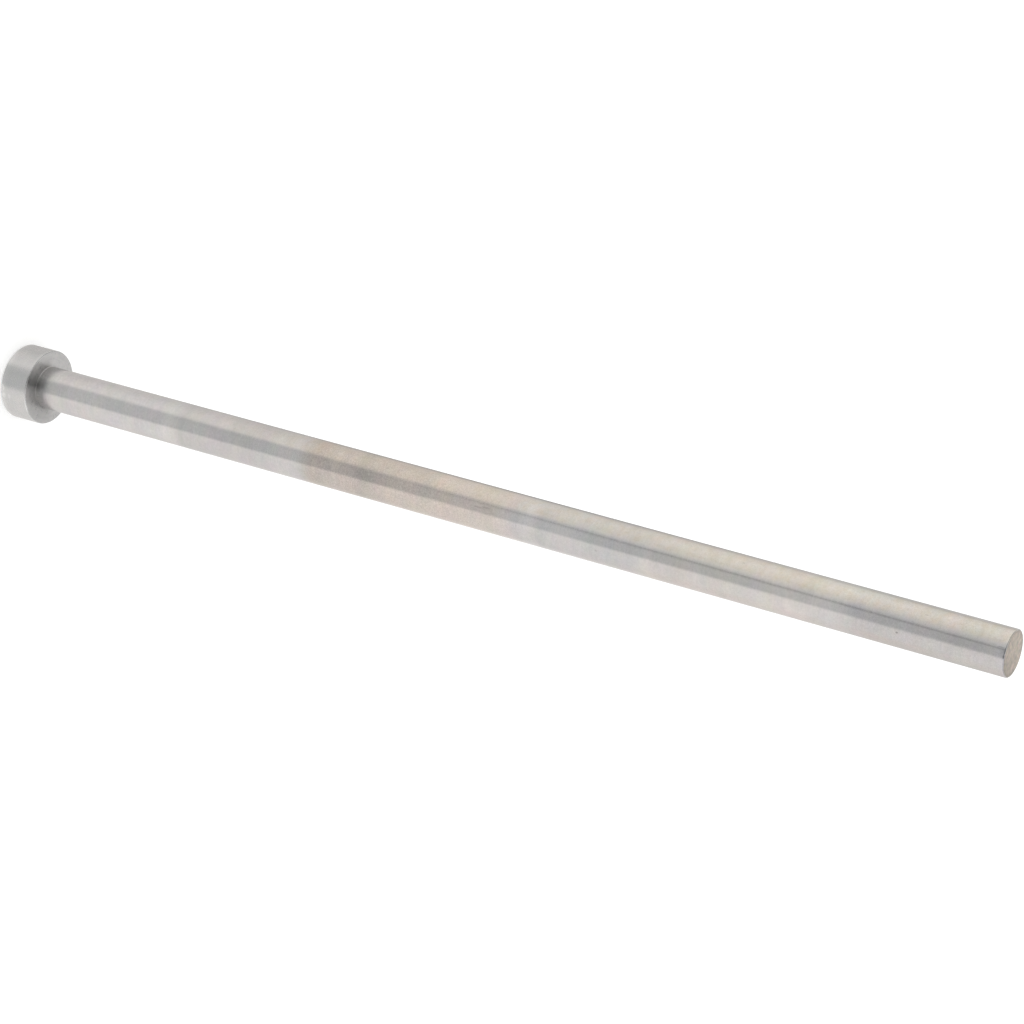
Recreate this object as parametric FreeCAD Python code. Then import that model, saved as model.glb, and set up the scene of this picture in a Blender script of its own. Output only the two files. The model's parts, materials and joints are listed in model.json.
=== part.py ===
import FreeCAD, Part
import math
import os

# Core pin for a mould: a ground straight shank with a turned cylindrical head.
# It is turned from one bar, so it is one solid: a half section turned once round the axis.
# It stands on its head. +Z runs along the axis from the head to the tip, and the origin is the
# centre of the head's back face. Sizes are in millimetres, and the main ones are inch sizes.

# Main sizes: 6 1/4 in long, shank 1/4 in, head 7/16 in across and 3/16 in thick
overall_length = 158.75
shank_diameter = 6.35
head_diameter = 11.1125
head_thickness = 4.7625

# Edges and corners
back_edge_chamfer = 0.30
shoulder_edge_radius = 0.13
neck_fillet_radius = 0.12
tip_edge_radius = 0.15


def point(radius, height):
    """A point of the half section, which lies in the XZ plane."""
    return FreeCAD.Vector(radius, 0, height)


def straight(start, end):
    """A straight edge of the half section."""
    return Part.LineSegment(start, end).toShape()


def quarter_round(centre, radius, start_degrees, end_degrees):
    """A round edge of the half section, its angles measured from +X towards +Z."""
    start, middle, end = [
        centre + FreeCAD.Vector(radius * math.cos(turn), 0, radius * math.sin(turn))
        for turn in (
            math.radians(start_degrees),
            math.radians((start_degrees + end_degrees) / 2),
            math.radians(end_degrees),
        )
    ]
    return Part.Arc(start, middle, end).toShape()


def head_edges():
    """The head's back face, back chamfer, side, shoulder edge and shoulder."""
    head_radius = head_diameter / 2
    flat_radius = head_radius - shoulder_edge_radius
    side_end_height = head_thickness - shoulder_edge_radius
    neck_radius = shank_diameter / 2 + neck_fillet_radius
    chamfer_start = point(head_radius - back_edge_chamfer, 0)
    chamfer_end = point(head_radius, back_edge_chamfer)
    return [
        straight(point(0, 0), chamfer_start),
        straight(chamfer_start, chamfer_end),
        straight(chamfer_end, point(head_radius, side_end_height)),
        quarter_round(point(flat_radius, side_end_height), shoulder_edge_radius, 0, 90),
        straight(point(flat_radius, head_thickness), point(neck_radius, head_thickness)),
    ]


def shank_edges():
    """The fillet under the head, the ground side, the broken tip edge and the flat tip."""
    shank_radius = shank_diameter / 2
    neck_radius = shank_radius + neck_fillet_radius
    side_start_height = head_thickness + neck_fillet_radius
    tip_radius = shank_radius - tip_edge_radius
    side_end_height = overall_length - tip_edge_radius
    return [
        quarter_round(point(neck_radius, side_start_height), neck_fillet_radius, 270, 180),
        straight(point(shank_radius, side_start_height), point(shank_radius, side_end_height)),
        quarter_round(point(tip_radius, side_end_height), tip_edge_radius, 0, 90),
        straight(point(tip_radius, overall_length), point(0, overall_length)),
    ]


def core_pin():
    """The whole pin: the half section, closed along the axis and turned once round it."""
    axis_edge = straight(point(0, overall_length), point(0, 0))
    outline = Part.Wire(head_edges() + shank_edges() + [axis_edge])
    return Part.Face(outline).revolve(point(0, 0), FreeCAD.Vector(0, 0, 1), 360)


os.makedirs("parts", exist_ok=True)
pin = core_pin()
pin.exportStep("parts/core_pin.step")
print("core_pin:", pin.ShapeType, "valid", pin.isValid(), "volume in mm3", round(pin.Volume, 2))
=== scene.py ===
import json
import math

import bmesh
import bpy
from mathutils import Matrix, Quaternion, Vector


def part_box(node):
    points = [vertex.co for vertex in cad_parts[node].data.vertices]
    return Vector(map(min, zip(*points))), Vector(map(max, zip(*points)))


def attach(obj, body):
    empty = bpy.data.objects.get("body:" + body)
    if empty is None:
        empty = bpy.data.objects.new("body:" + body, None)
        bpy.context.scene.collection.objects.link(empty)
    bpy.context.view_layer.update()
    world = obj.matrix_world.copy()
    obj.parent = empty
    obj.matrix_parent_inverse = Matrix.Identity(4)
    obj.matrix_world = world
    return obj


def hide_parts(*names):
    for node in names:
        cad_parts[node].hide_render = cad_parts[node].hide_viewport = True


# Core pin, standing on its head: the steel finishes, a small studio and the camera.
# Lengths in the dictionaries are millimetres and angles are degrees. Blender gets metres and radians.
# Directions round the pin are counted from the camera's side: 0 faces the camera, plus is towards +X.

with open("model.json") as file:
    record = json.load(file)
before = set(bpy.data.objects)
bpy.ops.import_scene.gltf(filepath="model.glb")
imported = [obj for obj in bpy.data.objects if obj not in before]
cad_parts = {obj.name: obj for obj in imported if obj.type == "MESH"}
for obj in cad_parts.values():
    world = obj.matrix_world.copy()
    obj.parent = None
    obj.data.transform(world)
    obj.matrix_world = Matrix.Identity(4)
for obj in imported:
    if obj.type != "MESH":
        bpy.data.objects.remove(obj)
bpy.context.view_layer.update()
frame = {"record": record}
mm = 0.001


# Small helpers for colours and nodes
def hexToLinear(hexColour):
    # the sRGB curve
    channels = [int(hexColour[i:i + 2], 16) / 255 for i in (1, 3, 5)]
    linear = [c / 12.92 if c <= 0.04045 else ((c + 0.055) / 1.055) ** 2.4 for c in channels]
    return (*linear, 1.0)


def grey(level):
    return (level, level, level, 1.0)


def addNode(tree, kind, inputs=(), **settings):
    # each input is a value, a socket, or a node, which gives its first output in use
    node = tree.nodes.new("ShaderNode" + kind)
    for name, value in settings.items():
        setattr(node, name, value)
    for name, value in (inputs.items() if isinstance(inputs, dict) else enumerate(inputs)):
        if isinstance(value, bpy.types.Node):
            value = next(output for output in value.outputs if output.enabled)
        if isinstance(value, bpy.types.NodeSocket):
            tree.links.new(value, node.inputs[name])
        else:
            node.inputs[name].default_value = value
    return node


print("stage 1: camera")
cameraView = {
    "distance": 351.83,  # from the pin's axis, level with the floor
    "height": 270.68,  # above the floor that the pin stands on
    "aimHeight": 85.47,  # where the line of sight passes the pin's axis
    "aimAside": -0.42,
    "roll": 105.41,  # the pin is seen lying across the picture, head at the left
    "lens": 102.65,
    "sensor": 36,
    "nearest": 10,
    "farthest": 50000,
}


def placeCamera(view):
    cameraData = bpy.data.cameras.new("pinCamera")
    cameraData.sensor_width = view["sensor"]
    cameraData.lens = view["lens"]
    cameraData.clip_start = view["nearest"] * mm
    cameraData.clip_end = view["farthest"] * mm
    camera = bpy.data.objects.new("pinCamera", cameraData)
    bpy.context.scene.collection.objects.link(camera)
    place = Vector((0, -view["distance"], view["height"])) * mm
    aim = Vector((view["aimAside"], 0, view["aimHeight"])) * mm
    camera.location = place
    camera.rotation_mode = "QUATERNION"
    turn = Quaternion((0, 0, 1), math.radians(view["roll"]))
    camera.rotation_quaternion = (aim - place).to_track_quat("-Z", "Y") @ turn
    bpy.context.scene.camera = camera


placeCamera(cameraView)
bpy.context.scene.view_settings.view_transform = "Standard"

print("stage 2: pin")
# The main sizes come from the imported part's mounts: the straight walls and the flat faces between them.
mounts = {m["name"]: m for m in frame["record"]["mounts"]}


def wallSpan(mount):
    middle = mount["pos_m"][2]
    half = mount["dims"]["length_mm"] * mm / 2
    return middle - half, middle + half


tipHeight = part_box("core_pin")[1].z
shankRadius = mounts["shank"]["dims"]["r_mm"] * mm
headRadius = mounts["head"]["dims"]["r_mm"] * mm
shoulderHeight = mounts["shoulder"]["pos_m"][2]
shankFoot, shankEnd = wallSpan(mounts["shank"])
headFoot, headEnd = wallSpan(mounts["head"])
backChamfer = headFoot  # as wide as it is high
shoulderRound = shoulderHeight - headEnd
neckFillet = shankFoot - shoulderHeight
tipRound = tipHeight - shankEnd

pinMesh = {
    "sides": 288,  # facets round the pin
    "arcSteps": 6,  # steps along each rounded edge
    "shankStep": 1.0,  # between the rings along the shank
    "headStep": 0.5,  # between the rings along the head's side
    "backEdge": (0.5, 0.1),  # how far closer rings reach up the head's side, and their step
    "chamferSteps": 5,
    "backStep": 0.6,  # between the rings on the back face and the tip
    "shoulderStep": 0.3,  # between the rings on the shoulder
    "fineStep": 0.06,  # between the rings where a mark is pressed in
    "markReach": 1.2,  # how far those go past the mark, 1 being the mark's own end
    "sharpEdge": 28,  # edges that turn more than this stay crisp
}

# Small marks of use. Each is a shallow dent: height on the pin, direction, size along and round it, depth.
pinMarks = [
    {"height": 144.3, "towards": 25, "along": 0.20, "around": 0.14, "depth": 0.04},
    {"height": 82.6, "towards": 1, "along": 0.9, "around": 0.10, "depth": 0.012},
    {"height": 4.72, "towards": 44, "along": 0.30, "around": 0.50, "depth": 0.05},
    {"height": 0.30, "towards": 18, "along": 0.35, "around": 0.60, "depth": 0.05},
]


def evenSteps(start, end, step):
    # the steps between two ends, which aren't among them
    count = max(1, round(abs(end - start) / step))
    return [start + (end - start) * i / count for i in range(1, count)]


def roundedEdge(centreRadius, centreHeight, radius, fromAngle, toAngle):
    steps = pinMesh["arcSteps"]
    points = []
    for i in range(steps + 1):
        angle = math.radians(fromAngle + (toAngle - fromAngle) * i / steps)
        points.append((centreRadius + radius * math.cos(angle), centreHeight + radius * math.sin(angle)))
    return points


def shankHeights():
    # even rings, with close ones where a mark is pressed into the shank
    marks = [m for m in pinMarks if m["height"] * mm > shankFoot]
    reach = pinMesh["markReach"]
    heights = []
    for h in evenSteps(shankFoot, shankEnd, pinMesh["shankStep"] * mm):
        if all(abs(h - m["height"] * mm) > m["along"] * mm * reach for m in marks):
            heights.append(h)
    for m in marks:
        low, high = m["height"] - m["along"] * reach, m["height"] + m["along"] * reach
        heights += [h * mm for h in evenSteps(low, high, pinMesh["fineStep"])]
    return sorted(heights)


def pinSection():
    # (radius, height, finish) of each ring, from the middle of the head's back to the middle of the tip
    backStep = pinMesh["backStep"] * mm
    backEdge = headRadius - backChamfer
    rings = [(r, 0, "backFace") for r in evenSteps(0, backEdge, backStep)]
    rings += [(backEdge, 0, "backFace")]
    chamfer = evenSteps(0, 1, 1 / pinMesh["chamferSteps"])
    rings += [(backEdge + backChamfer * t, backChamfer * t, "headSide") for t in chamfer]
    rings += [(headRadius, headFoot, "headSide")]
    closeReach, closeStep = pinMesh["backEdge"]
    closeEnd = headFoot + closeReach * mm
    rings += [(headRadius, h, "headSide") for h in evenSteps(headFoot, closeEnd, closeStep * mm)]
    rings += [(headRadius, h, "headSide") for h in evenSteps(
        closeEnd, headEnd, pinMesh["headStep"] * mm)]
    rings += [(r, h, "headSide") for r, h in roundedEdge(
        headRadius - shoulderRound, headEnd, shoulderRound, 0, 90)]
    neckEdge = shankRadius + neckFillet
    rings += [(r, shoulderHeight, "shoulder") for r in evenSteps(
        headRadius - shoulderRound, neckEdge, pinMesh["shoulderStep"] * mm)]
    rings += [(r, h, "shoulder") for r, h in roundedEdge(neckEdge, shankFoot, neckFillet, 270, 180)]
    rings += [(shankRadius, h, "shank") for h in shankHeights()]
    rings += [(r, h, "shank") for r, h in roundedEdge(
        shankRadius - tipRound, shankEnd, tipRound, 0, 90)]
    rings += [(r, tipHeight, "tipFace") for r in evenSteps(shankRadius - tipRound, 0, backStep)]
    return rings


def pressedIn(angle, height):
    # how far the marks push the surface towards the axis there
    depth = 0.0
    onShank = height > shoulderHeight
    radius = shankRadius if onShank else headRadius
    for mark in pinMarks:
        if (mark["height"] * mm > shoulderHeight) != onShank:
            continue
        offAround = math.remainder(angle - math.radians(mark["towards"]), 2 * math.pi) * radius
        offAlong = height - mark["height"] * mm
        far = math.hypot(offAlong / (mark["along"] * mm), offAround / (mark["around"] * mm))
        if far < 1:
            depth += mark["depth"] * mm * (1 - far * far) ** 2
    return depth


def buildPin():
    rings = pinSection()
    sides = pinMesh["sides"]
    bm = bmesh.new()
    rows = []
    for radius, height, finish in rings:
        row = []
        for i in range(sides):
            angle = 2 * math.pi * i / sides
            onWall = finish in ("headSide", "shank")
            near = radius - (pressedIn(angle, height) if onWall else 0)
            row.append(bm.verts.new((near * math.sin(angle), -near * math.cos(angle), height)))
        rows.append(row)
    finishes = ["backFace", "headSide", "shoulder", "shank", "tipFace"]
    for k in range(len(rows) - 1):
        for i in range(sides):
            j = (i + 1) % sides
            face = bm.faces.new((rows[k][i], rows[k][j], rows[k + 1][j], rows[k + 1][i]))
            face.material_index = finishes.index(rings[k + 1][2])
    for row, height, finish, order in ((rows[0], 0, "backFace", -1), (rows[-1], tipHeight, "tipFace", 1)):
        middle = bm.verts.new((0, 0, height))
        for i in range(sides):
            j = (i + 1) % sides
            corners = (row[i], row[j], middle)
            face = bm.faces.new(corners[::order])
            face.material_index = finishes.index(finish)
    for face in bm.faces:
        face.smooth = True
    bmesh.ops.recalc_face_normals(bm, faces=bm.faces)
    mesh = bpy.data.meshes.new("pin")
    bm.to_mesh(mesh)
    bm.free()
    mesh.set_sharp_from_angle(angle=math.radians(pinMesh["sharpEdge"]))
    pin = bpy.data.objects.new("pin", mesh)
    bpy.context.scene.collection.objects.link(pin)
    return pin, finishes


pin, finishes = buildPin()

print("stage 3: steel")
noiseEnds = (0.3, 0.7)  # where the noise is taken as at its lowest and its highest
noiseRoughness = 0.6
fewLayers, moreLayers = 2, 3  # finer layers that are laid on the noise
ovalEdge = (0.4, 1.2)  # where an oval begins to fade and where it is gone, 1 being its stated size
markDepth = 0.02  # the depth that the finest marks stand for
marksRound = 0.25  # the share of a whole turn that lays the marks round the pin


def newSteel(name):
    material = bpy.data.materials.new(name)
    material.use_nodes = True
    tree = material.node_tree
    tree.nodes.clear()
    return material, tree


def finishSteel(tree, look, colour, roughness, lines):
    # Fine marks run round the pin, so it mirrors sharply round itself and softly along its length.
    marks = addNode(tree, "Bump", {
        "Height": lines, "Strength": look["markStrength"], "Distance": markDepth * mm})
    steel = addNode(tree, "BsdfPrincipled", {
        "Base Color": colour, "Metallic": 1.0, "Roughness": roughness,
        "Anisotropic": look["anisotropy"], "Anisotropic Rotation": marksRound, "Normal": marks})
    addNode(tree, "OutputMaterial", {"Surface": steel})


def directionRound(tree, x, y):
    # degrees round the pin's axis, 0 at -Y and plus towards +X
    front = addNode(tree, "Math", [y, -1.0], operation="MULTIPLY")
    angle = addNode(tree, "Math", [x, front], operation="ARCTAN2")
    return addNode(tree, "Math", [angle], operation="DEGREES")


def placeOnPin(tree):
    # the place in millimetres, its parts, the direction round the axis and the distance from the axis
    metres = addNode(tree, "TexCoord").outputs["Object"]
    place = addNode(tree, "VectorMath", {0: metres, "Scale": 1 / mm}, operation="SCALE")
    split = addNode(tree, "SeparateXYZ", [place])
    x, y, height = split.outputs
    flat = addNode(tree, "CombineXYZ", [x, y])
    radius = addNode(tree, "VectorMath", [flat], operation="LENGTH")
    return {"place": place, "x": x, "y": y, "height": height,
            "turn": directionRound(tree, x, y), "radius": radius}


def bandBetween(tree, value, span, softStart, softEnd):
    # 1 between the two ends of the span and 0 outside it, with soft ends
    start, end = span
    rise = addNode(tree, "MapRange", [value, start - softStart, start + softStart, 0.0, 1.0],
                   interpolation_type="SMOOTHSTEP")
    fall = addNode(tree, "MapRange", [value, end - softEnd, end + softEnd, 1.0, 0.0],
                   interpolation_type="SMOOTHSTEP")
    return addNode(tree, "Math", [rise, fall], operation="MULTIPLY")


def ovalAt(tree, height, turn, at, towards, halfLength, halfWidth, wallRadius=shankRadius):
    # 1 in the middle of an oval on the shank's or the head's side and 0 outside it
    halfAngle = math.degrees(halfWidth * mm / wallRadius)
    offAlong = addNode(tree, "MapRange", [height, at, at + halfLength, 0.0, 1.0], clamp=False)
    offAround = addNode(tree, "MapRange", [turn, towards, towards + halfAngle, 0.0, 1.0], clamp=False)
    off = addNode(tree, "CombineXYZ", [offAlong, offAround])
    far = addNode(tree, "VectorMath", [off], operation="LENGTH")
    return addNode(tree, "MapRange", [far, *ovalEdge, 1.0, 0.0], interpolation_type="SMOOTHSTEP")


def levelsAlong(tree, value, stops, colour=(1, 1, 1)):
    # the colour at the level that the stops give for the value
    low, high = stops[0][0], stops[-1][0]
    along = addNode(tree, "MapRange", [value, low, high, 0.0, 1.0])
    ramp = addNode(tree, "ValToRGB", [along])
    elements = ramp.color_ramp.elements
    while len(elements) < len(stops):
        elements.new(0.5)  # the loop below moves it to its place
    for element, (at, level) in zip(elements, stops):
        element.position = (at - low) / (high - low)
        element.color = [*(level * c for c in colour[:3]), 1.0]
    return ramp


def grainOf(tree, place, size, detail):
    # noise with grains of that size along X, Y and Z
    stretched = addNode(tree, "VectorMath", [place, [1 / s for s in size]], operation="MULTIPLY")
    return addNode(tree, "TexNoise", {
        "Vector": stretched, "Scale": 1.0, "Detail": detail, "Roughness": noiseRoughness})


def shadeByGrain(tree, colour, grain, contrast):
    # lighter and darker by that share where the noise is high and low; the share may be a node
    high = addNode(tree, "MapRange", [grain, *noiseEnds, -1.0, 1.0])
    level = addNode(tree, "Math", [high, contrast, 1.0], operation="MULTIPLY_ADD")
    return addNode(tree, "VectorMath", {0: colour, "Scale": level}, operation="SCALE")


def driftHues(tree, colour, grain, contrast):
    # each channel drifts a little by itself, as the thin oxide on steel does
    drift = addNode(tree, "VectorMath", [
        grain.outputs["Color"], (contrast,) * 3, (1 - contrast / 2,) * 3], operation="MULTIPLY_ADD")
    return addNode(tree, "VectorMath", [colour, drift], operation="MULTIPLY")


def layTints(tree, colour, tints):
    # each tint is a share, and what the colour is multiplied by where that share is 1
    for share, tint in tints:
        colour = addNode(tree, "Mix", {0: share, "A": colour, "B": tint},
                         data_type="RGBA", blend_type="MULTIPLY")
    return colour


# Ground tool steel: a fine wheel leaves faint lines round the shank, and warm zones have run straw.
groundShank = {
    "steel": "#cfcece",
    "roughness": (0.09, 0.14),
    "anisotropy": 0.9,
    "footRoughness": [(5.5, 0.09), (7.0, 0.08), (11.0, 0.0)],  # the wheel doesn't reach into the corner
    "footShade": [(4.9, 0.97), (5.4, 0.94), (6.2, 0.97), (7.6, 1.0)],  # level by height
    "lineSpacing": 0.25,  # wheel lines as drawn; real ones are about 0.04 and would not show
    "lineReach": 3,  # how far a line runs before it changes
    "lineContrast": [(-18, 0.014), (-7, 0.032), (13, 0.032), (24, 0.016)],  # by direction
    "markStrength": 0.03,
    "bandSize": 0.9,  # broader bands where the wheel dwelt
    "bandReach": 8,
    "bandContrast": 0.008,
    "mottleSize": 0.4,  # small mottles in the thin oxide
    "mottleContrast": 0.04,
    "blotchSize": (4.0, 4.0, 2.4),  # wide blotches in it
    "blotchContrast": 0.03,
    "hueContrast": 0.15,  # how far each channel drifts by itself
    # zones along the shank, from the head's back: both ends, how softly each comes, colour filter
    "zones": {
        "dull": ((31, 47), 1.0, 2.5, "#f8f8f8"),
        "brownStraw": ((53, 65.5), 1.6, 2.0, "#f3ece5"),
        "paleStraw": ((65.5, 86), 2.0, 4.0, "#fff7ef"),
        "cold": ((91, 107), 0.8, 1.5, "#f8f9f9"),
        "warm": ((108, 134), 1.5, 3.0, "#fdfcf9"),
        "tip": ((137, 165), 2.0, 1.0, "#fbfbfb"),
    },
    "zoneWander": 2.4,  # how far the zones' ends wander round the pin
    "wanderGrain": (2, 2, 30),
    # rings that differ as a whole: height, width, level
    "rings": [
        (29.0, 2.6, 1.04), (58.2, 0.8, 1.04), (62.6, 1.6, 0.94), (75.0, 1.2, 1.03), (82.0, 7.0, 1.04),
        (89.5, 2.0, 1.05)],
    # wide clouds, partly in the oxide and partly painted reflection: height, direction, half length, half
    # width round the pin, level
    "clouds": [
        (8.0, 0, 2.5, 1.0, 0.955), (22.0, -46, 9.0, 1.9, 1.03), (21.0, 44, 8.0, 1.6, 1.05),
        (37.0, -46, 9.0, 1.9, 1.06), (60.5, -46, 6.0, 1.9, 1.09), (77.5, -46, 4.5, 1.9, 1.07),
        (98.0, -46, 8.0, 1.9, 1.05), (126.0, -46, 22.0, 1.9, 1.045), (28.5, 44, 3.0, 1.6, 1.04),
        (53.5, 44, 3.5, 1.6, 0.95), (88.5, 44, 4.0, 1.6, 0.94), (126.5, 44, 8.0, 1.6, 1.05),
        (151.0, 44, 9.0, 1.6, 1.04), (34.0, 4, 5.0, 0.9, 1.04), (65.0, 4, 4.5, 0.9, 0.95),
        (80.0, 4, 4.0, 0.9, 1.04), (92.5, 4, 8.5, 0.9, 1.09), (130.5, 4, 8.0, 0.9, 1.07),
        (153.0, 4, 5.0, 0.9, 0.95)],
    "fleckSize": 0.22,
    # how strongly each height is flecked
    "flecks": [(28, 0.0), (52, 0.02), (55, 0.11), (76, 0.11), (92, 0.03), (132, 0.02), (142, 0.05)],
    # one side has run straw as far as the tip: both ends, softness, colour filter, strength by height
    "strawSide": ((-70, -17), 8, "#fdfcf5"),
    "strawLevels": [
        (28, 0.05), (52, 0.65), (63, 0.45), (75, 0.6), (84, 0.45), (91, 1.0), (117, 0.75), (126, 0.95),
        (160, 1.0)],
    "strawPatches": "#fcf7f0",  # it has small patches of a deeper straw
    "patchSize": 1.3,
    "patchRange": (0.40, 0.66),  # noise at which a patch begins, and at which it is full
    # the other side is a trace warmer
    "warmSide": ((47, 100), 7, "#fff9f6"),
    "warmLevels": [(92, 0.0), (110, 0.45), (138, 0.45), (143, 1.0), (152, 0.6)],
    "coldTip": ((137, 165), 2.5, 1.0, "#f1f2f2"),  # away from the straw the tip is a little colder
    # small dark stains, the first of them painted shade at the shank's foot by the corner: height,
    # direction, half length, half width round the pin, level
    "stains": [
        (5.15, 6, 0.5, 0.9, 0.84), (144.3, 25, 0.22, 0.15, 0.62), (158.64, 13, 0.12, 0.30, 0.55),
        (158.0, -7, 0.55, 0.10, 0.80), (81.9, 2.8, 0.9, 0.15, 0.84), (83.2, -0.5, 0.9, 0.15, 0.84),
        (100.6, 30, 0.25, 0.18, 0.88), (121.5, -40, 0.30, 0.16, 0.88), (147.5, -34, 0.35, 0.14, 0.88),
        (66.3, -32, 0.30, 0.22, 0.88)],
}


def makeGroundShank(look):
    material, tree = newSteel("groundToolSteel")
    spot = placeOnPin(tree)
    place, height, turn = spot["place"], spot["height"], spot["turn"]
    wander = grainOf(tree, place, look["wanderGrain"], fewLayers)
    aside = addNode(tree, "Math", [wander, look["zoneWander"], -look["zoneWander"] / 2],
                    operation="MULTIPLY_ADD")
    along = addNode(tree, "Math", [height, aside], operation="ADD")
    lines = grainOf(tree, place, (look["lineReach"], look["lineReach"], look["lineSpacing"]), moreLayers)
    bands = grainOf(tree, place, (look["bandReach"], look["bandReach"], look["bandSize"]), fewLayers)
    mottle = grainOf(tree, place, (look["mottleSize"],) * 3, moreLayers)
    blotches = grainOf(tree, place, look["blotchSize"], moreLayers)
    flecks = grainOf(tree, place, (look["fleckSize"],) * 3, fewLayers)

    tints = []
    for span, softStart, softEnd, filterColour in look["zones"].values():
        tints.append((bandBetween(tree, along, span, softStart, softEnd), hexToLinear(filterColour)))
    for at, width, level in look["rings"]:
        half = width / 2
        tints.append((bandBetween(tree, along, (at - half, at + half), half, half), grey(level)))
    # clouds, partly oxide and partly painted reflection
    for *oval, level in look["clouds"]:
        tints.append((ovalAt(tree, along, turn, *oval), grey(level)))
    # stains, and painted shade at the foot by the corner
    for *oval, level in look["stains"]:
        tints.append((ovalAt(tree, height, turn, *oval), grey(level)))
    sideSpan, sideSoft, sideFilter = look["strawSide"]
    side = bandBetween(tree, turn, sideSpan, sideSoft, sideSoft)
    strength = levelsAlong(tree, along, look["strawLevels"])
    straw = addNode(tree, "Math", [side, strength], operation="MULTIPLY")
    tints.append((straw, hexToLinear(sideFilter)))
    patches = grainOf(tree, place, (look["patchSize"],) * 3, moreLayers)
    deeper = addNode(tree, "MapRange", [patches, *look["patchRange"], 0.0, straw])
    tints.append((deeper, hexToLinear(look["strawPatches"])))
    warmSpan, warmSoft, warmFilter = look["warmSide"]
    warmSide = bandBetween(tree, turn, warmSpan, warmSoft, warmSoft)
    warmth = levelsAlong(tree, along, look["warmLevels"])
    warm = addNode(tree, "Math", [warmSide, warmth], operation="MULTIPLY")
    tints.append((warm, hexToLinear(warmFilter)))
    *coldBand, coldFilter = look["coldTip"]
    cold = bandBetween(tree, along, *coldBand)
    elsewhere = addNode(tree, "Math", [cold, side], operation="SUBTRACT", use_clamp=True)
    tints.append((elsewhere, hexToLinear(coldFilter)))
    tints.append((1.0, levelsAlong(tree, height, look["footShade"])))

    colour = driftHues(tree, hexToLinear(look["steel"])[:3], blotches, look["hueContrast"])
    colour = layTints(tree, colour, tints)
    for grain, contrast in (
            (lines, levelsAlong(tree, turn, look["lineContrast"])), (bands, look["bandContrast"]),
            (mottle, look["mottleContrast"]), (blotches, look["blotchContrast"]),
            (flecks, levelsAlong(tree, along, look["flecks"]))):
        colour = shadeByGrain(tree, colour, grain, contrast)
    roughness = addNode(tree, "Math", [
        addNode(tree, "MapRange", [lines, *noiseEnds, *look["roughness"]]),
        levelsAlong(tree, height, look["footRoughness"])], operation="ADD")
    finishSteel(tree, look, colour, roughness, lines)
    return material


# Turned tool steel: a fine feed on the lathe leaves a satin side that mirrors less sharply.
turnedHead = {
    "steel": "#cfd0d0",
    "roughness": (0.22, 0.30),
    "anisotropy": 0.8,
    "lineSpacing": 0.2,  # feed marks as drawn; real ones are about 0.1 and would not show
    "lineReach": 9,
    "lineContrast": 0.02,
    "markStrength": 0.03,
    "blotchSize": 1.2,
    "blotchContrast": 0.035,
    "hueContrast": 0.06,
    # painted highlight along the back edge: heights, softness, level
    "backWear": ((-1, 0.8), 0.3, 1.10),
    # and a painted highlight along part of the front edge: heights, softness, directions, softness, level
    "frontWear": ((4.60, 4.78), 0.05, (30, 52), 6, 1.2),
    # small rubbed spots near the back edge: height, direction, half length, half width round the head, level
    "rubbed": [
        (0.50, 19, 0.40, 0.50, 1.14), (0.73, 31, 0.45, 0.50, 1.11), (1.73, 31, 0.40, 0.45, 1.09)],
    # painted shade and light round the head: level by direction
    "sides": [
        (-90, 0.93), (-70, 0.88), (-52, 0.875), (-38, 0.94), (-24, 0.995), (-15, 0.93), (-7, 0.97),
        (-2, 1.0), (12, 0.99), (28, 1.0), (58, 0.98), (76, 1.06), (90, 1.02)],
}


def makeTurnedHead(look):
    material, tree = newSteel("turnedToolSteel")
    spot = placeOnPin(tree)
    place, height, turn = spot["place"], spot["height"], spot["turn"]
    lines = grainOf(tree, place, (look["lineReach"], look["lineReach"], look["lineSpacing"]), fewLayers)
    blotches = grainOf(tree, place, (look["blotchSize"],) * 3, moreLayers)
    # painted highlight along the back edge
    backSpan, backSoft, backLevel = look["backWear"]
    # painted highlight along part of the front edge
    frontSpan, frontSoft, sideSpan, sideSoft, frontLevel = look["frontWear"]
    front = bandBetween(tree, height, frontSpan, frontSoft, frontSoft)
    side = bandBetween(tree, turn, sideSpan, sideSoft, sideSoft)
    frontHighlight = addNode(tree, "Math", [front, side], operation="MULTIPLY")
    colour = driftHues(tree, hexToLinear(look["steel"])[:3], blotches, look["hueContrast"])
    tints = [
        (bandBetween(tree, height, backSpan, backSoft, backSoft), grey(backLevel)),
        # the front edge's painted highlight, then painted shade and light by direction
        (frontHighlight, grey(frontLevel)), (1.0, levelsAlong(tree, turn, look["sides"]))]
    for *oval, level in look["rubbed"]:
        tints.append((ovalAt(tree, height, turn, *oval, headRadius), grey(level)))
    colour = layTints(tree, colour, tints)
    colour = shadeByGrain(tree, colour, lines, look["lineContrast"])
    colour = shadeByGrain(tree, colour, blotches, look["blotchContrast"])
    roughness = addNode(tree, "MapRange", [blotches, *noiseEnds, *look["roughness"]])
    finishSteel(tree, look, colour, roughness, lines)
    return material


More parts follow.
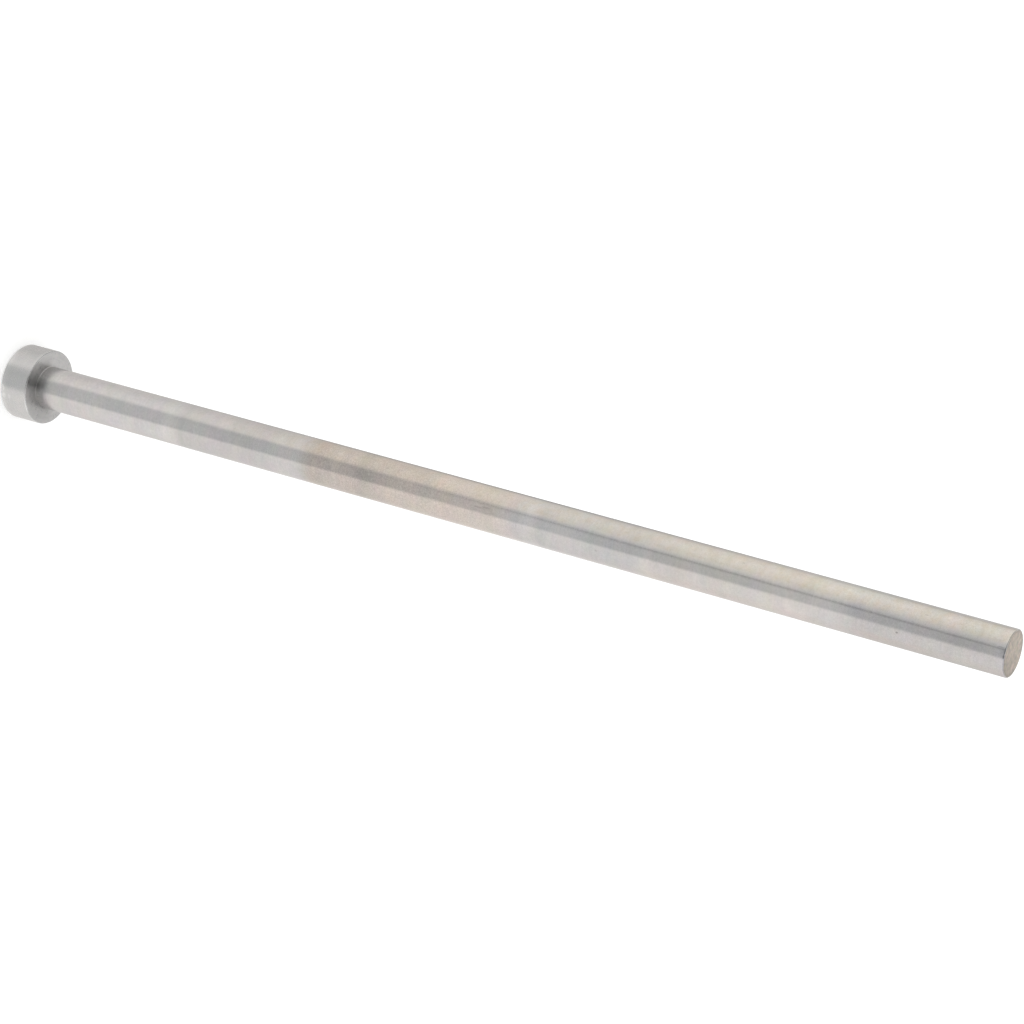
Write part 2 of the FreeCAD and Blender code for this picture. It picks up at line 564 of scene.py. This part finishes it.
# Faced tool steel: the tool travels inwards while the head turns, so the marks are circles.
facedShoulder = {
    "steel": "#cecdcc",
    "roughness": (0.26, 0.36),
    "anisotropy": 0.3,
    "lineSpacing": 0.3,  # feed circles as drawn; real ones are about 0.1 apart and would not show
    "lineReach": 60,  # degrees round the face before a circle changes
    "lineContrast": 0.05,
    "markStrength": 0.1,
    "blotchSize": 0.7,
    "blotchContrast": 0.06,
    "hueContrast": 0.08,
    # painted shade darkens part of the corner where the fillet meets the shoulder: radius, softness,
    # directions, softness, level
    "neckDirt": (3.30, 0.03, (-22, 100), 10, 0.72),
    # the painted shade thins out over the shoulder: level by radius, directions and their softness
    "oilLevels": [(3.3, 0.74), (3.8, 0.83), (4.4, 0.91), (5.2, 1.0)],
    "oilSpan": ((-72, 118), 12),
    # painted shade and light: level by direction
    "sides": [
        (-180, 1.0), (-103, 1.02), (-7, 1.04), (21, 1.06), (38, 0.94), (51, 0.87), (75, 0.89), (98, 0.92),
        (130, 0.96), (180, 1.0)],
}


def makeFacedShoulder(look):
    material, tree = newSteel("facedToolSteel")
    spot = placeOnPin(tree)
    place, turn, radius = spot["place"], spot["turn"], spot["radius"]
    unrolled = addNode(tree, "CombineXYZ", [radius, turn])
    lines = grainOf(tree, unrolled, (look["lineSpacing"], look["lineReach"], 1), fewLayers)
    blotches = grainOf(tree, place, (look["blotchSize"],) * 3, moreLayers)
    # painted shade in part of the corner of the neck
    shadeRadius, shadeEdge, shadeSpan, shadeSoft, shadeLevel = look["neckDirt"]
    corner = addNode(tree, "MapRange", [radius, shadeRadius - shadeEdge, shadeRadius + shadeEdge, 1.0, 0.0])
    side = bandBetween(tree, turn, shadeSpan, shadeSoft, shadeSoft)
    cornerShade = addNode(tree, "Math", [corner, side], operation="MULTIPLY")
    # painted shade thinning out from the corner over the shoulder
    oilSpan, paintedShadeSoft = look["oilSpan"]
    thinningShade = bandBetween(tree, turn, oilSpan, paintedShadeSoft, paintedShadeSoft)
    colour = driftHues(tree, hexToLinear(look["steel"])[:3], blotches, look["hueContrast"])
    colour = layTints(tree, colour, [
        (cornerShade, grey(shadeLevel)), (thinningShade, levelsAlong(tree, radius, look["oilLevels"])),
        # painted shade and light by direction
        (1.0, levelsAlong(tree, turn, look["sides"]))])
    colour = shadeByGrain(tree, colour, lines, look["lineContrast"])
    colour = shadeByGrain(tree, colour, blotches, look["blotchContrast"])
    roughness = addNode(tree, "MapRange", [blotches, *noiseEnds, *look["roughness"]])
    finishSteel(tree, look, colour, roughness, lines)
    return material


# Cut tool steel: the tip was cut to length, which leaves straight marks and a warm, blotchy grey.
cutTip = {
    "steel": "#c4baaf",
    "roughness": (0.34, 0.46),
    "anisotropy": 0.0,
    "lineSpacing": 0.35,  # saw and stone marks as drawn; real ones are finer and would not show
    "lineReach": 3,
    "lineContrast": 0.08,
    "markStrength": 0.15,
    "blotchSize": 0.7,
    "blotchContrast": 0.22,
    "hueContrast": 0.25,
    "slope": (-0.033, 0.017),  # painted light across the face: lighter towards the straw side and the far side, for each millimetre
    "rim": ((2.45, 2.90), 0.86),  # darker towards the edge: from and to which radius, level
}


def makeCutTip(look):
    material, tree = newSteel("cutToolSteel")
    spot = placeOnPin(tree)
    place, x, y = spot["place"], spot["x"], spot["y"]
    lines = grainOf(tree, place, (look["lineReach"], look["lineSpacing"], look["lineReach"]), fewLayers)
    blotches = grainOf(tree, place, (look["blotchSize"],) * 3, moreLayers)
    # painted light across the tip face
    aside = addNode(tree, "Math", [x, look["slope"][0], 1.0], operation="MULTIPLY_ADD")
    lean = addNode(tree, "Math", [y, look["slope"][1], aside], operation="MULTIPLY_ADD")
    rimSpan, rimLevel = look["rim"]
    rim = addNode(tree, "MapRange", [spot["radius"], *rimSpan, 0.0, 1.0],
                  interpolation_type="SMOOTHSTEP")
    colour = driftHues(tree, hexToLinear(look["steel"])[:3], blotches, look["hueContrast"])
    colour = addNode(tree, "VectorMath", {0: colour, "Scale": lean}, operation="SCALE")
    colour = layTints(tree, colour, [(rim, grey(rimLevel))])
    colour = shadeByGrain(tree, colour, lines, look["lineContrast"])
    colour = shadeByGrain(tree, colour, blotches, look["blotchContrast"])
    roughness = addNode(tree, "MapRange", [blotches, *noiseEnds, *look["roughness"]])
    finishSteel(tree, look, colour, roughness, lines)
    return material


shoulderSteel = makeFacedShoulder(facedShoulder)
steelOf = {
    "backFace": shoulderSteel, "headSide": makeTurnedHead(turnedHead), "shoulder": shoulderSteel,
    "shank": makeGroundShank(groundShank), "tipFace": makeCutTip(cutTip)}
for finish in finishes:
    pin.data.materials.append(steelOf[finish])
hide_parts("core_pin")
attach(pin, "root")

print("stage 4: studio")
# The pin mirrors two wide white walls and the dimmer gap between them, where the camera stands.
# Levels are shares of plain white. Directions are degrees round the pin, and slopes run from -1,
# straight down, to 1, straight up. The camera sees slopes of -0.60 mirrored by the foot of the
# shank, -0.46 by its middle and -0.316 by its tip.
studio = {
    "wallWhite": "#fffbf8",
    "gapWhite": "#fffefd",
    "slopes": (-0.60, -0.46, -0.316),
    # the walls' levels by direction, at each of those slopes
    "walls": (
        [(-180, 0.68), (-150, 0.70), (-130, 0.72), (-110, 0.74), (-90, 0.82), (-70, 0.89), (-50, 0.95),
         (0, 1.0), (40, 0.97), (110, 0.95), (130, 0.90), (150, 0.82), (180, 0.78)],
        [(-180, 0.30), (-160, 0.40), (-150, 0.49), (-140, 0.69), (-130, 0.84), (-120, 0.91), (-100, 0.97),
         (-80, 0.99), (-60, 0.97), (-45, 0.94), (-30, 0.94), (0, 1.0), (90, 0.98), (120, 0.94), (140, 0.96),
         (180, 0.98)],
        [(-180, 0.54), (-160, 0.63), (-148, 0.76), (-140, 0.74), (-132, 0.77), (-120, 0.98), (-100, 1.09),
         (-85, 1.14), (-60, 1.06), (-45, 0.97), (0, 1.0), (50, 1.03), (110, 1.03), (130, 0.97), (150, 0.85),
         (160, 0.75), (180, 0.68)]),
    # the gap's levels by slope
    "gapLevels": [
        (-0.60, 0.70), (-0.57, 0.69), (-0.54, 0.64), (-0.51, 0.625), (-0.485, 0.65), (-0.46, 0.70),
        (-0.43, 0.68), (-0.385, 0.645), (-0.34, 0.69), (-0.30, 0.72), (-0.22, 0.70), (-0.12, 0.3),
        (0.2, 0.25)],
    # where the gap ends, in degrees to each side of the camera, by slope
    "minusEdge": [
        (-0.60, 32.5), (-0.552, 27.5), (-0.512, 24.5), (-0.46, 24.0), (-0.43, 20.5), (-0.385, 17.0),
        (-0.325, 12.0), (-0.30, 10.5)],
    "plusEdge": [
        (-0.60, 36.5), (-0.552, 33.5), (-0.512, 31.0), (-0.485, 30.5), (-0.43, 32.0), (-0.385, 32.5),
        (-0.32, 35.5)],
    "plusSoft": 8,
    # how the wall comes in beyond the minus edge: quickly by the head and slowly by the tip
    "fadeByHead": [(-17, 1.0), (-13, 0.9), (-10, 0.73), (-7, 0.5), (-4, 0.25), (-1, 0.05), (0.5, 0)],
    "fadeByTip": [
        (-36, 1.0), (-30, 0.93), (-24, 0.8), (-18, 0.69), (-12, 0.56), (-9, 0.47), (-6, 0.38), (-3, 0.24),
        (-1, 0.08), (0.5, 0)],
    "fadeSlopes": (-0.45, -0.36),
    # a darker line along the minus edge: both sides, how softly each comes, and its level by slope
    "edgeLine": ((2.0, 8.0), 3, 3),
    "edgeLevels": [
        (-0.50, 1.0), (-0.475, 0.84), (-0.455, 0.60), (-0.42, 0.65), (-0.385, 0.50), (-0.34, 0.64),
        (-0.30, 0.7)],
    # the ceiling's levels by direction, and the slopes between which it comes in
    "ceiling": [
        (-180, 0.8), (-60, 0.8), (-30, 0.6), (-12, 0.35), (12, 0.3), (28, 0.8), (60, 1.0), (120, 1.0),
        (180, 0.8)],
    "ceilingStart": (0.02, 0.2),
    # a dark row across the ceiling, which the neck and the shoulder mirror from each other
    "darkRow": [
        (-180, 0.76), (-168, 0.74), (-150, 0.5), (-90, 0.48), (-60, 0.42), (-30, 0.20), (0, 0.06),
        (30, 0.20), (60, 0.42), (90, 0.6), (150, 0.72), (180, 0.76)],
    "darkRowSlopes": ((0.47, 0.74), 0.06, 0.06),
    "brightRow": ((-0.20, 0.06), 0.08, 0.06, 1.16),  # the walls' upper edge
}


def buildStudio(look):
    world = bpy.data.worlds.new("studio")
    bpy.context.scene.world = world
    world.use_nodes = True
    tree = world.node_tree
    tree.nodes.clear()
    wallWhite = hexToLinear(look["wallWhite"])
    gapWhite = hexToLinear(look["gapWhite"])
    direction = addNode(tree, "TexCoord").outputs["Generated"]
    x, y, slope = addNode(tree, "SeparateXYZ", [direction]).outputs
    turn = directionRound(tree, x, y)

    # two walls, whose levels change from the head's slope to the tip's
    walls = levelsAlong(tree, turn, look["walls"][0], wallWhite)
    for k in range(1, len(look["walls"])):
        share = addNode(tree, "MapRange", [slope, look["slopes"][k - 1], look["slopes"][k], 0.0, 1.0])
        nearer = levelsAlong(tree, turn, look["walls"][k], wallWhite)
        walls = addNode(tree, "Mix", {0: share, "A": walls, "B": nearer}, data_type="RGBA")

    # the gap between them
    minusEdge = levelsAlong(tree, slope, look["minusEdge"])
    offMinus = addNode(tree, "Math", [turn, minusEdge], operation="ADD")
    slowly = addNode(tree, "MapRange", [slope, *look["fadeSlopes"], 0.0, 1.0])
    minusShare = addNode(tree, "Mix", {
        0: slowly, "A": levelsAlong(tree, offMinus, look["fadeByHead"]),
        "B": levelsAlong(tree, offMinus, look["fadeByTip"])}, data_type="RGBA")
    plusEdge = levelsAlong(tree, slope, look["plusEdge"])
    offPlus = addNode(tree, "Math", [turn, plusEdge], operation="SUBTRACT")
    plusShare = addNode(tree, "MapRange", [offPlus, -look["plusSoft"], look["plusSoft"], 0.0, 1.0],
                        interpolation_type="SMOOTHSTEP")
    wallShare = addNode(tree, "Math", [minusShare, plusShare], operation="ADD", use_clamp=True)
    gap = levelsAlong(tree, slope, look["gapLevels"], gapWhite)
    line = bandBetween(tree, offMinus, *look["edgeLine"])
    gap = layTints(tree, gap, [(line, levelsAlong(tree, slope, look["edgeLevels"]))])
    around = addNode(tree, "Mix", {0: wallShare, "A": gap, "B": walls}, data_type="RGBA")

    # the walls' bright upper edge, then the dimmer ceiling, darkest over the camera
    *topBand, topLevel = look["brightRow"]
    around = layTints(tree, around, [(bandBetween(tree, slope, *topBand), grey(topLevel))])
    ceiling = addNode(tree, "Mix", {
        0: bandBetween(tree, slope, *look["darkRowSlopes"]),
        "A": levelsAlong(tree, turn, look["ceiling"], gapWhite),
        "B": levelsAlong(tree, turn, look["darkRow"], gapWhite)}, data_type="RGBA")
    above = addNode(tree, "MapRange", [slope, *look["ceilingStart"], 0.0, 1.0],
                    interpolation_type="SMOOTHSTEP")
    around = addNode(tree, "Mix", {0: above, "A": around, "B": ceiling}, data_type="RGBA")

    # steel mirrors the walls and the gap; everything else sees plain white
    mirrored = addNode(tree, "Background", {"Color": around, "Strength": 1.0})
    plain = addNode(tree, "Background", {"Color": (1, 1, 1, 1), "Strength": 1.0})
    glossyRay = addNode(tree, "LightPath").outputs["Is Glossy Ray"]
    seen = addNode(tree, "MixShader", [glossyRay, plain, mirrored])
    addNode(tree, "OutputWorld", {"Surface": seen})


buildStudio(studio)

paleFloor = {
    "paint": "#f4f4f3",
    "halfSize": 1500,
    "lift": 0.28,  # added for the camera and for mirrored rays, so that the floor is seen white
}


def buildFloor(look):
    half = look["halfSize"] * mm
    mesh = bpy.data.meshes.new("floor")
    mesh.from_pydata(
        [(-half, -half, 0), (half, -half, 0), (half, half, 0), (-half, half, 0)], [], [(0, 1, 2, 3)])
    floor = bpy.data.objects.new("floor", mesh)
    bpy.context.scene.collection.objects.link(floor)
    floor.visible_glossy = False  # the pin mirrors the studio that lies beyond it
    material = bpy.data.materials.new("paleFloorPaint")
    material.use_nodes = True
    tree = material.node_tree
    tree.nodes.clear()
    paint = addNode(tree, "BsdfDiffuse", {"Color": hexToLinear(look["paint"])})
    seen = 0.0
    rays = addNode(tree, "LightPath").outputs
    for ray in ("Is Camera Ray", "Is Glossy Ray", "Is Transmission Ray"):
        seen = addNode(tree, "Math", [seen, rays[ray]], operation="MAXIMUM")
    lift = addNode(tree, "Math", [seen, look["lift"]], operation="MULTIPLY")
    glow = addNode(tree, "Emission", {"Strength": lift})
    both = addNode(tree, "AddShader", [paint, glow])
    addNode(tree, "OutputMaterial", {"Surface": both})
    mesh.materials.append(material)


buildFloor(paleFloor)

print("stage 5: scene set up")
